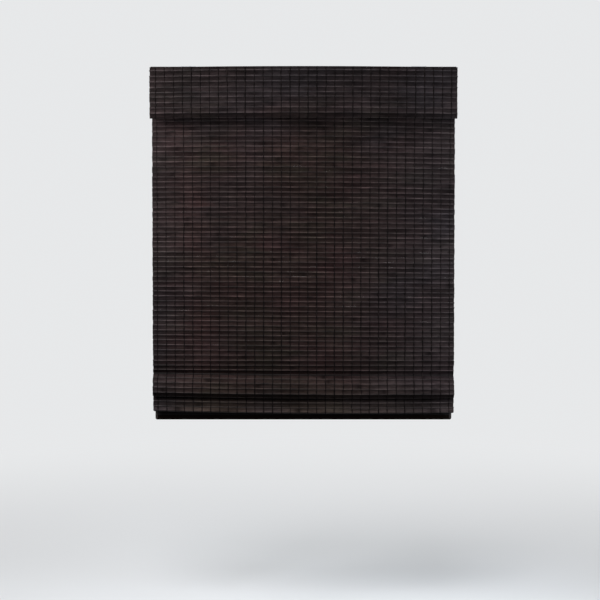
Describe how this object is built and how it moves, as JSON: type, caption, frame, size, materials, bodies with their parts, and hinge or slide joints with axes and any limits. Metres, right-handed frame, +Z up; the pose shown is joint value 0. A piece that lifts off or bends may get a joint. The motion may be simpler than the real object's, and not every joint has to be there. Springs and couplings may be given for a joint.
{
  "type": "roman shade",
  "caption": "Cordless woven-wood roman shade with a spring headrail, a flat valance, a slat-and-reed panel, drawn-up lower folds and a bottom bar.",
  "frame": {"origin": "centre of the four head screw holes, on the top face of the brackets", "axes": "+Z up, front of the shade faces -Y, +X to the right seen from the front"},
  "size_m": [0.906, 0.0702, 1.0511],
  "materials": {
    "woven_wood": "stained bamboo slats and reeds, matte",
    "warp_thread": "dark cotton thread",
    "hook_tape": "black hook-and-loop tape",
    "rail_metal": "powder coated dark brown",
    "dark_plastic": "moulded, satin",
    "bracket_steel": "zinc plated",
    "frame_plastic": "moulded, light grey",
    "drum_plastic": "moulded, off-white",
    "spring_steel": "bright steel",
    "cord": "braided, dark brown",
    "ring_plastic": "moulded, brown",
    "bar_wood": "stained, satin"
  },
  "bodies": {
    "rail": {"headrail": "rail_metal", "end_cap_left": "dark_plastic", "end_cap_right": "dark_plastic", "bracket_left": "bracket_steel", "bracket_right": "bracket_steel", "valance": "woven_wood", "valance_threads": "warp_thread", "valance_tape": "hook_tape", "upper_panel": "woven_wood", "panel_threads": "warp_thread", "panel_tape": "hook_tape", "motor_base": "frame_plastic", "motor_cover": "frame_plastic", "motor_screws": "spring_steel", "drum_axles": "spring_steel", "motor_spring": "spring_steel", "cord_guide_left": "frame_plastic", "cord_guide_right": "frame_plastic", "roller_pins": "spring_steel", "headrail_cord_left": "cord", "headrail_cord_right": "cord", "lift_cord_left": "cord", "lift_cord_right": "cord"},
    "lift": {"lower_folds": "woven_wood", "fold_threads": "warp_thread", "stack_rings": "ring_plastic", "cord_anchors": "ring_plastic", "bottom_bar": "bar_wood", "bar_tape": "hook_tape", "bar_cap_left": "dark_plastic", "bar_cap_right": "dark_plastic"},
    "row_1": {"cord_rings_1": "ring_plastic"},
    "row_2": {"cord_rings_2": "ring_plastic"},
    "row_3": {"cord_rings_3": "ring_plastic"},
    "row_4": {"cord_rings_4": "ring_plastic"},
    "spool_left": {"cord_spool_left": "drum_plastic"},
    "storage": {"storage_drum": "drum_plastic"},
    "output": {"output_drum": "drum_plastic"},
    "spool_right": {"cord_spool_right": "drum_plastic"},
    "roller_left": {"guide_roller_left": "drum_plastic"},
    "roller_right": {"guide_roller_right": "drum_plastic"}
  },
  "joints": [
    {"name": "lift", "type": "slide", "parent": "rail", "child": "lift", "axis": [0, 0, 1], "range_m": [0, 0.7], "deforming": ["upper_panel", "panel_threads", "lift_cord_left", "lift_cord_right"]},
    {"name": "row_1_slide", "type": "slide", "parent": "rail", "child": "row_1", "axis": [0, 0, 1], "range_m": [0, 0.6135]},
    {"name": "row_2_slide", "type": "slide", "parent": "rail", "child": "row_2", "axis": [0, 0, 1], "range_m": [0, 0.4885]},
    {"name": "row_3_slide", "type": "slide", "parent": "rail", "child": "row_3", "axis": [0, 0, 1], "range_m": [0, 0.3635]},
    {"name": "row_4_slide", "type": "slide", "parent": "rail", "child": "row_4", "axis": [0, 0, 1], "range_m": [0, 0.2385]},
    {"name": "spool_left_spin", "type": "hinge", "parent": "rail", "child": "spool_left", "pos_m": [-0.051, 0, -0.0193], "axis": [0, 0, 1], "range_deg": [-4100, 0]},
    {"name": "storage_spin", "type": "hinge", "parent": "rail", "child": "storage", "pos_m": [-0.017, 0, -0.0193], "axis": [0, 0, 1], "range_deg": [0, 4100]},
    {"name": "output_spin", "type": "hinge", "parent": "rail", "child": "output", "pos_m": [0.017, 0, -0.0193], "axis": [0, 0, 1], "range_deg": [-4100, 0]},
    {"name": "spool_right_spin", "type": "hinge", "parent": "rail", "child": "spool_right", "pos_m": [0.051, 0, -0.0193], "axis": [0, 0, 1], "range_deg": [0, 4100]},
    {"name": "roller_left_spin", "type": "hinge", "parent": "rail", "child": "roller_left", "pos_m": [-0.2934, 0.0098, -0.0259], "axis": [0, 1, 0], "range_deg": [0, 6090]},
    {"name": "roller_right_spin", "type": "hinge", "parent": "rail", "child": "roller_right", "pos_m": [0.2934, 0.0098, -0.0259], "axis": [0, 1, 0], "range_deg": [-6090, 0]}
  ],
  "couplings": [
    {"joint": "row_1_slide", "follows": "lift", "ratio": 0.875},
    {"joint": "row_2_slide", "follows": "lift", "ratio": 0.69643},
    {"joint": "row_3_slide", "follows": "lift", "ratio": 0.51786},
    {"joint": "row_4_slide", "follows": "lift", "ratio": 0.33929},
    {"joint": "spool_left_spin", "follows": "lift", "rad_per_m": -102.04},
    {"joint": "storage_spin", "follows": "lift", "rad_per_m": 102.04},
    {"joint": "output_spin", "follows": "lift", "rad_per_m": -102.04},
    {"joint": "spool_right_spin", "follows": "lift", "rad_per_m": 102.04},
    {"joint": "roller_left_spin", "follows": "lift", "rad_per_m": 151.52},
    {"joint": "roller_right_spin", "follows": "lift", "rad_per_m": -151.52}
  ]
}
